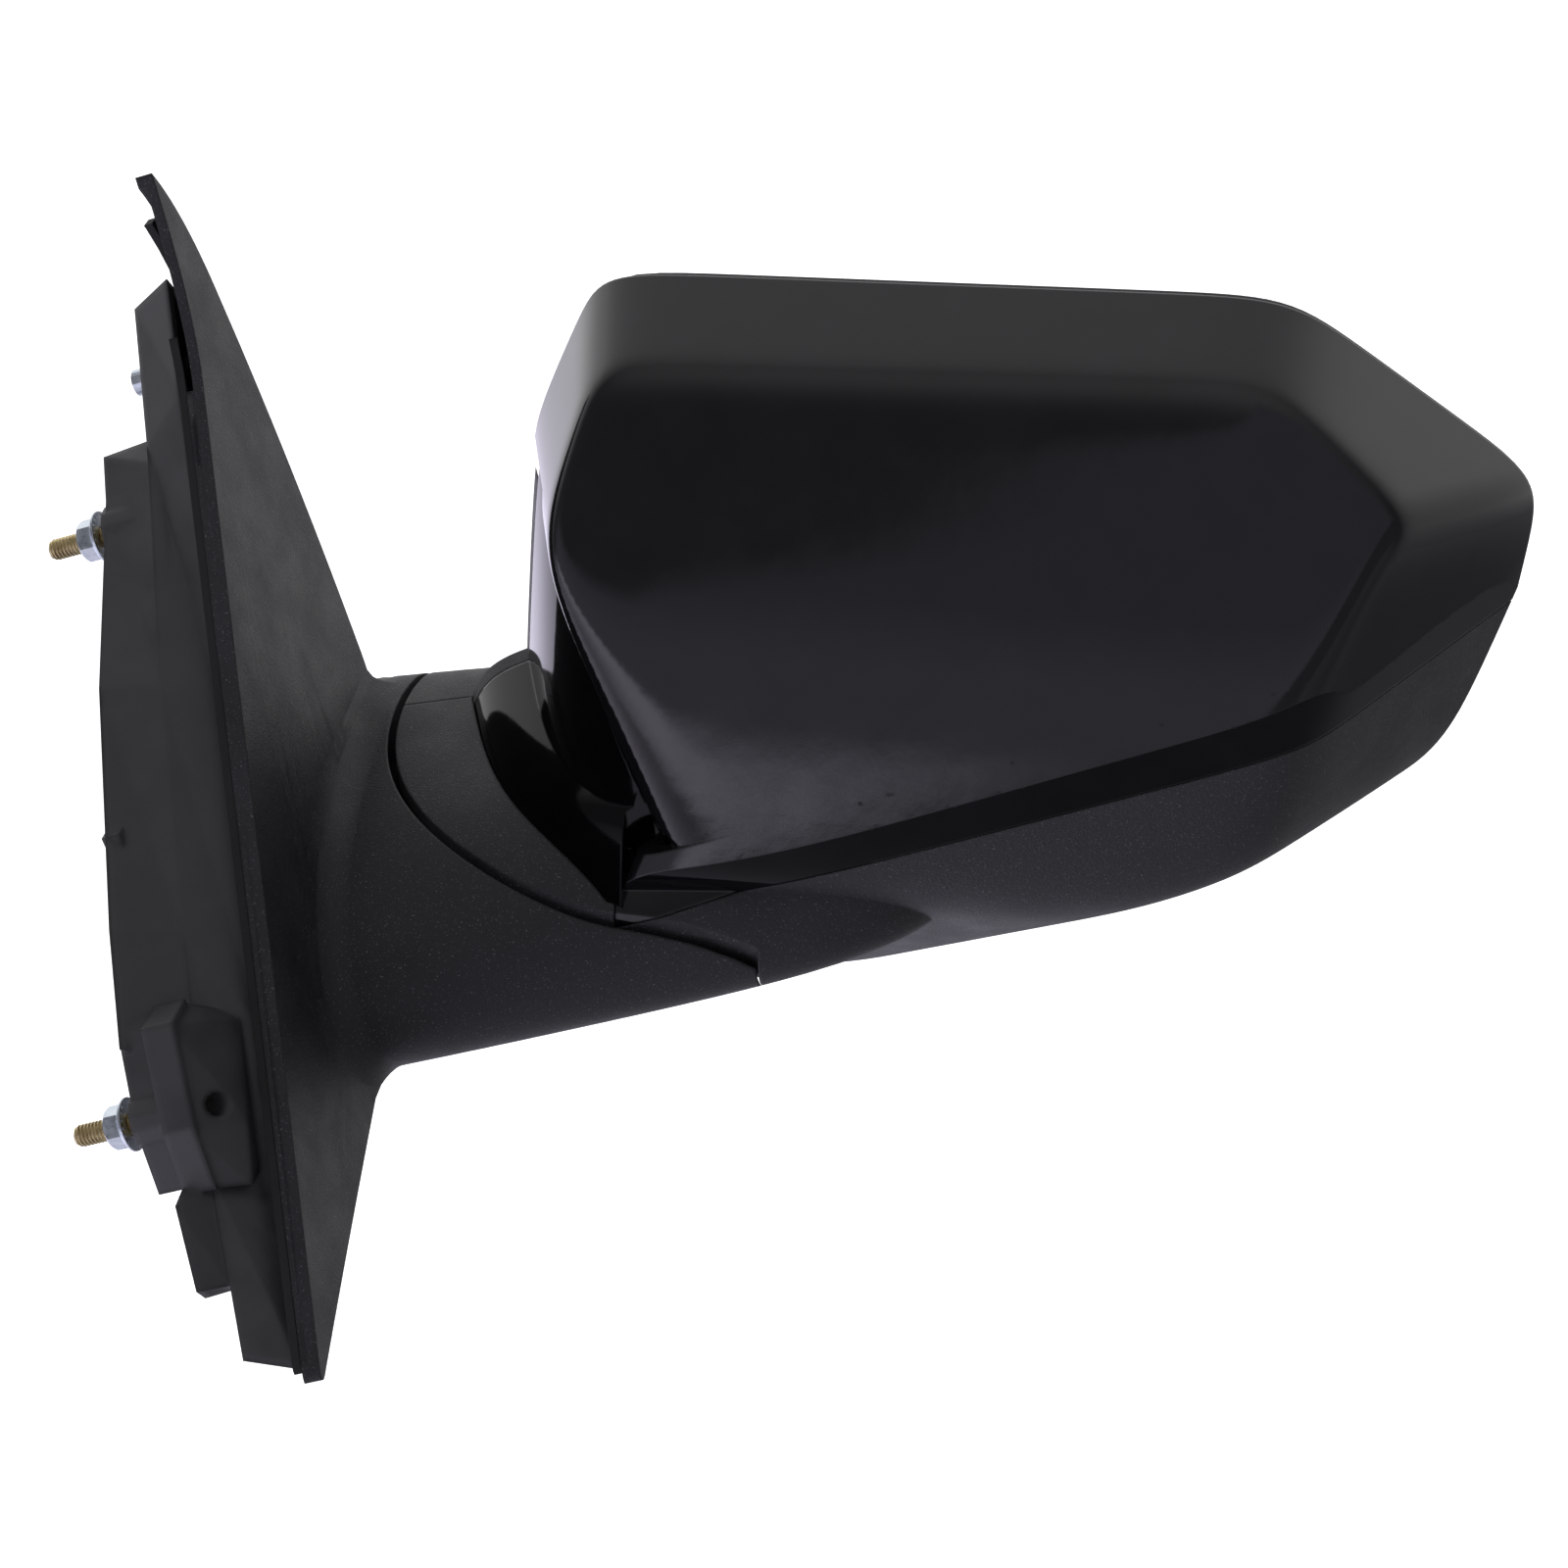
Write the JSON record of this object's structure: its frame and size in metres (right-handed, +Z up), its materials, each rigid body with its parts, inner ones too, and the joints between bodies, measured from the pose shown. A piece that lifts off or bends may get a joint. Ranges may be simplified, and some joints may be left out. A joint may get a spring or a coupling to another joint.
{
  "type": "car door mirror",
  "caption": "Left-hand car door mirror with a folding head, a powered tilting glass, and a door-frame base on threaded studs.",
  "frame": {"origin": "on the flat seat land of the base, the plane that meets the door, midway between the upper and lower studs", "axes": "+X outboard from the car, +Y rearward, +Z up; the seat plane leans 20 degrees about Y"},
  "size_m": [0.3932, 0.2151, 0.2433],
  "materials": {
    "gloss_black": "high gloss black, mirror-like reflections",
    "textured_black": "fine-grained moulded black",
    "moulded_black": "plain moulded black, glass filled",
    "seal_rubber": "soft black foam rubber",
    "zinc": "blue-white zinc plate",
    "yellow_zinc": "yellow zinc plate",
    "steel": "oiled bare steel",
    "mirror": "silvered glass",
    "gear_plastic": "natural acetal",
    "cast_alloy": "as-cast aluminium",
    "heater_film": "printed heater film"
  },
  "bodies": {
    "base": {"base_cover": "textured_black", "base_bracket": "moulded_black", "base_gasket": "seal_rubber", "stud_upper": "yellow_zinc", "nut_upper": "zinc", "stud_lower": "yellow_zinc", "nut_lower": "zinc", "stud_rear": "yellow_zinc", "nut_rear": "zinc", "base_screw_1": "zinc", "base_screw_2": "zinc", "base_screw_3": "zinc", "cable_grommet": "seal_rubber", "arm_core": "cast_alloy", "pivot_post": "steel", "base_detent_ring": "steel", "spring_retainer": "steel"},
    "head": {"front_cover": "gloss_black", "lower_cover": "textured_black", "inner_trim": "gloss_black", "rear_bezel": "textured_black", "head_frame": "moulded_black", "head_detent_ring": "steel", "fold_spring": "steel", "actuator_case_front": "moulded_black", "actuator_case_rear": "moulded_black", "actuator_screw_1": "zinc", "actuator_screw_2": "zinc", "actuator_screw_3": "zinc", "cover_screw_1": "zinc", "cover_screw_2": "zinc", "cover_screw_3": "zinc", "motor_tilt": "steel", "motor_pan": "steel"},
    "tilt_wheel": {"wheel_tilt": "gear_plastic"},
    "pan_wheel": {"wheel_pan": "gear_plastic"},
    "tilt_jack": {"jack_tilt": "gear_plastic"},
    "pan_jack": {"jack_pan": "gear_plastic"},
    "gimbal": {"gimbal_ring": "gear_plastic"},
    "glass": {"glass_holder": "moulded_black", "heater_pad": "heater_film", "mirror_glass": "mirror"}
  },
  "joints": [
    {"name": "fold", "type": "hinge", "parent": "base", "child": "head", "pos_m": [0.133, 0.091, 0], "axis": [0, 0, 1], "range_deg": [0, 65]},
    {"name": "glass_tilt", "type": "hinge", "parent": "head", "child": "gimbal", "pos_m": [0.226, 0.072, 0.044], "axis": [1, 0, 0], "range_deg": [-7, 7]},
    {"name": "glass_pan", "type": "hinge", "parent": "gimbal", "child": "glass", "pos_m": [0.226, 0.072, 0.044], "axis": [0, 0, 1], "range_deg": [-7, 7]},
    {"name": "tilt_jack_slide", "type": "slide", "parent": "head", "child": "tilt_jack", "axis": [0, 1, 0], "range_m": [-0.0038, 0.0038]},
    {"name": "pan_jack_slide", "type": "slide", "parent": "head", "child": "pan_jack", "axis": [0, 1, 0], "range_m": [-0.0038, 0.0038]},
    {"name": "tilt_wheel_spin", "type": "hinge", "parent": "head", "child": "tilt_wheel", "pos_m": [0.226, 0.058, 0.074], "axis": [0, 1, 0], "range_deg": [-340, 340]},
    {"name": "pan_wheel_spin", "type": "hinge", "parent": "head", "child": "pan_wheel", "pos_m": [0.196, 0.058, 0.044], "axis": [0, 1, 0], "range_deg": [-340, 340]}
  ],
  "couplings": [
    {"joint": "tilt_jack_slide", "follows": "glass_tilt", "m_per_rad": -0.03},
    {"joint": "pan_jack_slide", "follows": "glass_pan", "m_per_rad": -0.03},
    {"joint": "tilt_wheel_spin", "follows": "glass_tilt", "ratio": 47.124},
    {"joint": "pan_wheel_spin", "follows": "glass_pan", "ratio": 47.124}
  ]
}
